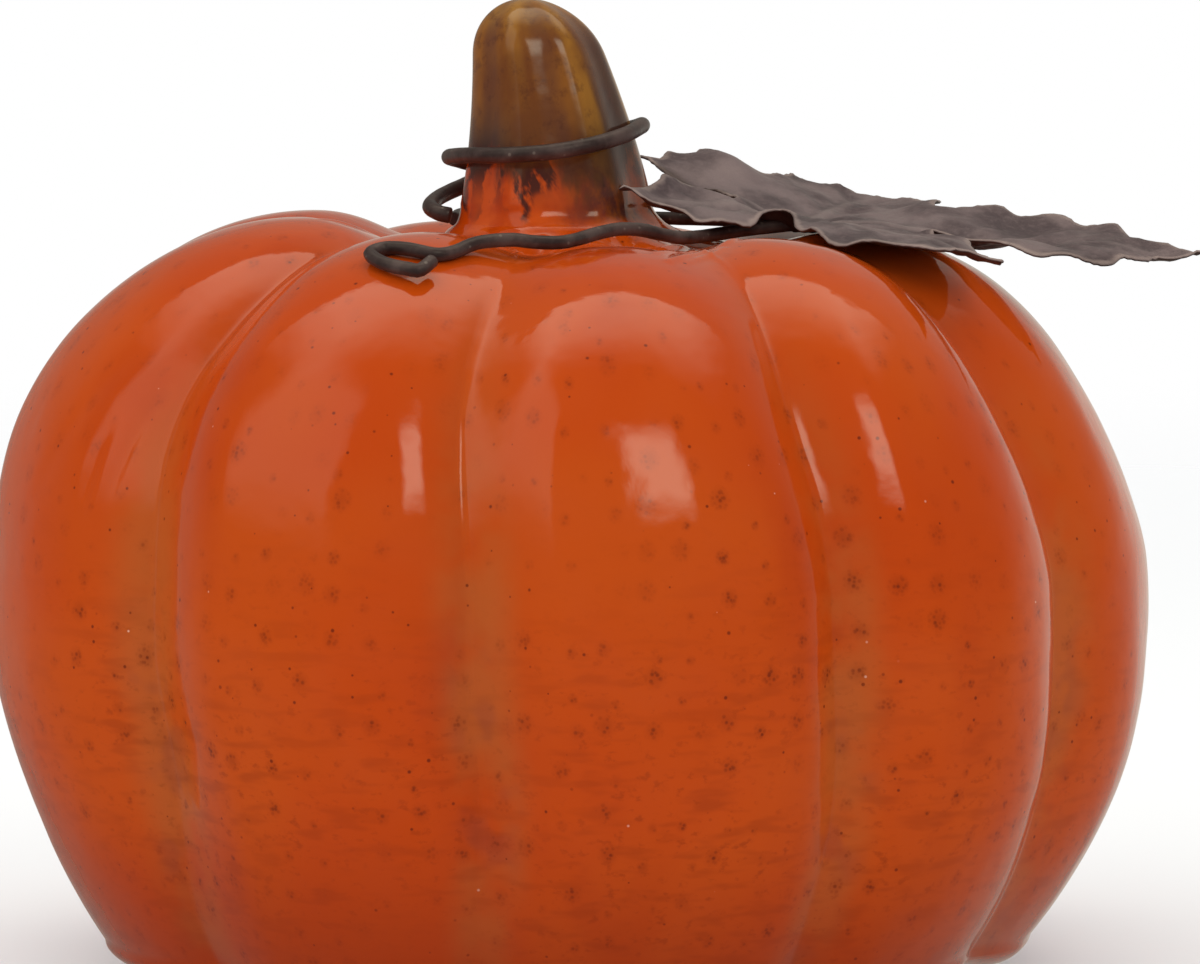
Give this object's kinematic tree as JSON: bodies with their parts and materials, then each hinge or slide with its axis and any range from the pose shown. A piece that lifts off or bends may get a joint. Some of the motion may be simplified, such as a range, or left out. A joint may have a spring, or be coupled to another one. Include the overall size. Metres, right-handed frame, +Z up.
{
  "type": "ceramic pumpkin figure",
  "caption": "Hollow glazed ceramic pumpkin with a ribbed body and curved stem, wearing a lift-off spray of sheet-metal leaf, wavy tendril and coiled wire.",
  "frame": {"origin": "on the surface the pumpkin stands on, under the middle of the whole object's box, 7 mm to the right of the stem's axis because the leaf overhangs the right side", "axes": "+Z up, -Y is the front that carries the tendril, +X the side that the leaf hangs over"},
  "size_m": [0.2248, 0.2161, 0.1813],
  "materials": {
    "orange_glaze": "gloss",
    "brown_glaze": "gloss",
    "leaf_metal": "satin",
    "wire_paint": "satin",
    "felt": "matte"
  },
  "bodies": {
    "pumpkin": {"body_shell": "orange_glaze", "stem": "brown_glaze", "foot_pad_1": "felt", "foot_pad_2": "felt", "foot_pad_3": "felt", "foot_pad_4": "felt"},
    "spray": {"leaf_blade": "leaf_metal", "tendril_wire": "wire_paint", "coil_wire": "wire_paint"}
  },
  "joints": [
    {"name": "spray_lift", "type": "slide", "parent": "pumpkin", "child": "spray", "axis": [0, 0, 1], "range_m": [0, 0.05]}
  ]
}
